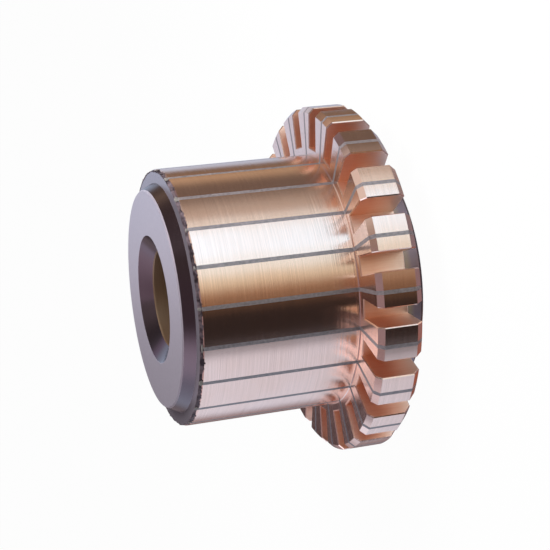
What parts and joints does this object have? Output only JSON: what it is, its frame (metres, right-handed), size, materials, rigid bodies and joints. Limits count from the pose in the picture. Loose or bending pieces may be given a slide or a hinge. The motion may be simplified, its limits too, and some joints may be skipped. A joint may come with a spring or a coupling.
{
  "type": "commutator",
  "caption": "Ring of copper bars with mica between them and a slotted riser at one end, moulded on a metal bush, for the armature of a small direct-current motor.",
  "frame": {"origin": "middle of the moulding's rear end, the riser end, on the shaft axis", "axes": "+Z along the shaft axis from the riser end to the brush end; +X through the middle of the first bar"},
  "size_m": [0.055, 0.055, 0.0374],
  "materials": {
    "copper": "turned bright copper",
    "mica": "turned mica board, dull",
    "moulding": "turned phenolic moulding compound",
    "bush": "bored brass, dull",
    "hoop": "drawn steel"
  },
  "bodies": {
    "root": {"copper_bar_01": "copper", "copper_bar_02": "copper", "copper_bar_03": "copper", "copper_bar_04": "copper", "copper_bar_05": "copper", "copper_bar_06": "copper", "copper_bar_07": "copper", "copper_bar_08": "copper", "copper_bar_09": "copper", "copper_bar_10": "copper", "copper_bar_11": "copper", "copper_bar_12": "copper", "copper_bar_13": "copper", "copper_bar_14": "copper", "copper_bar_15": "copper", "copper_bar_16": "copper", "copper_bar_17": "copper", "copper_bar_18": "copper", "copper_bar_19": "copper", "copper_bar_20": "copper", "copper_bar_21": "copper", "mica_plate_01": "mica", "mica_plate_02": "mica", "mica_plate_03": "mica", "mica_plate_04": "mica", "mica_plate_05": "mica", "mica_plate_06": "mica", "mica_plate_07": "mica", "mica_plate_08": "mica", "mica_plate_09": "mica", "mica_plate_10": "mica", "mica_plate_11": "mica", "mica_plate_12": "mica", "mica_plate_13": "mica", "mica_plate_14": "mica", "mica_plate_15": "mica", "mica_plate_16": "mica", "mica_plate_17": "mica", "mica_plate_18": "mica", "mica_plate_19": "mica", "mica_plate_20": "mica", "mica_plate_21": "mica", "moulded_body": "moulding", "shaft_bush": "bush", "front_hoop": "hoop", "rear_hoop": "hoop"}
  },
  "joints": []
}
